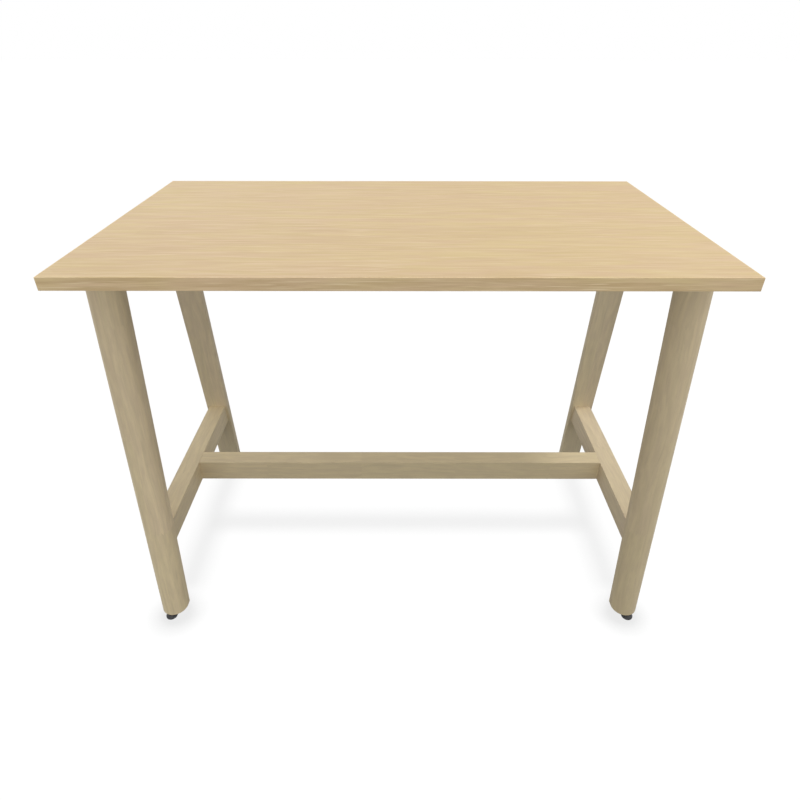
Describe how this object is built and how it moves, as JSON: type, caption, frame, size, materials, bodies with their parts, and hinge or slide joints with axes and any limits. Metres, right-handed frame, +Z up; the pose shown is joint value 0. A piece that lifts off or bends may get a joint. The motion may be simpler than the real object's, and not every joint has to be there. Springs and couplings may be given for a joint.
{
  "type": "high table",
  "caption": "Bar-height table: rectangular wood-decor top on raked half-round wooden legs, joined by an H of rails, with screw-adjusted levelling feet.",
  "frame": {"origin": "on the floor below the middle of the top", "axes": "+X along the top's length, +Y from the front to the back, +Z up"},
  "size_m": [1.4, 0.8, 1.08],
  "materials": {
    "oak_laminate": "matt laminate",
    "chipboard": "raw board",
    "solid_wood": "matt lacquer",
    "beech_dowel": "raw wood",
    "black_steel": "fine powder coat",
    "zinc_steel": "zinc plated",
    "insert_brass": "plain",
    "black_plastic": "moulded matt"
  },
  "bodies": {
    "frame": {"top_laminate": "oak_laminate", "backing_laminate": "oak_laminate", "edge_band_front": "oak_laminate", "edge_band_back": "oak_laminate", "edge_band_left": "oak_laminate", "edge_band_right": "oak_laminate", "top_core": "chipboard", "side_rail_left": "solid_wood", "side_rail_right": "solid_wood", "long_rail": "solid_wood", "side_rail_dowels": "beech_dowel", "long_rail_dowels": "beech_dowel", "plate_screws": "zinc_steel", "leg_bolts": "zinc_steel", "long_rail_bolts": "zinc_steel", "barrel_nuts": "zinc_steel", "leg_inserts": "insert_brass", "foot_inserts": "insert_brass", "leg_front_left": "solid_wood", "leg_plate_front_left": "black_steel", "leg_front_right": "solid_wood", "leg_plate_front_right": "black_steel", "leg_back_left": "solid_wood", "leg_plate_back_left": "black_steel", "leg_back_right": "solid_wood", "leg_plate_back_right": "black_steel"},
    "levelling_pad_front_left": {"foot_pad_front_left": "black_plastic"},
    "levelling_stud_front_left": {"foot_stud_front_left": "zinc_steel", "foot_nut_front_left": "zinc_steel"},
    "levelling_pad_front_right": {"foot_pad_front_right": "black_plastic"},
    "levelling_stud_front_right": {"foot_stud_front_right": "zinc_steel", "foot_nut_front_right": "zinc_steel"},
    "levelling_pad_back_left": {"foot_pad_back_left": "black_plastic"},
    "levelling_stud_back_left": {"foot_stud_back_left": "zinc_steel", "foot_nut_back_left": "zinc_steel"},
    "levelling_pad_back_right": {"foot_pad_back_right": "black_plastic"},
    "levelling_stud_back_right": {"foot_stud_back_right": "zinc_steel", "foot_nut_back_right": "zinc_steel"}
  },
  "joints": [
    {"name": "foot_lift_front_left", "type": "slide", "parent": "frame", "child": "levelling_pad_front_left", "axis": [0, 0, -1], "range_m": [0, 0.0121]},
    {"name": "foot_turn_front_left", "type": "hinge", "parent": "levelling_pad_front_left", "child": "levelling_stud_front_left", "pos_m": [-0.6735, -0.3485, 0], "axis": [0, 0, -1], "range_deg": [0, 3456]},
    {"name": "foot_lift_front_right", "type": "slide", "parent": "frame", "child": "levelling_pad_front_right", "axis": [0, 0, -1], "range_m": [0, 0.0121]},
    {"name": "foot_turn_front_right", "type": "hinge", "parent": "levelling_pad_front_right", "child": "levelling_stud_front_right", "pos_m": [0.6735, -0.3485, 0], "axis": [0, 0, -1], "range_deg": [0, 3456]},
    {"name": "foot_lift_back_left", "type": "slide", "parent": "frame", "child": "levelling_pad_back_left", "axis": [0, 0, -1], "range_m": [0, 0.0121]},
    {"name": "foot_turn_back_left", "type": "hinge", "parent": "levelling_pad_back_left", "child": "levelling_stud_back_left", "pos_m": [-0.6735, 0.3485, 0], "axis": [0, 0, -1], "range_deg": [0, 3456]},
    {"name": "foot_lift_back_right", "type": "slide", "parent": "frame", "child": "levelling_pad_back_right", "axis": [0, 0, -1], "range_m": [0, 0.0121]},
    {"name": "foot_turn_back_right", "type": "hinge", "parent": "levelling_pad_back_right", "child": "levelling_stud_back_right", "pos_m": [0.6735, 0.3485, 0], "axis": [0, 0, -1], "range_deg": [0, 3456]}
  ],
  "couplings": [
    {"joint": "foot_lift_front_left", "follows": "foot_turn_front_left", "m_per_rad": 0.00019894},
    {"joint": "foot_lift_front_right", "follows": "foot_turn_front_right", "m_per_rad": 0.00019894},
    {"joint": "foot_lift_back_left", "follows": "foot_turn_back_left", "m_per_rad": 0.00019894},
    {"joint": "foot_lift_back_right", "follows": "foot_turn_back_right", "m_per_rad": 0.00019894}
  ]
}
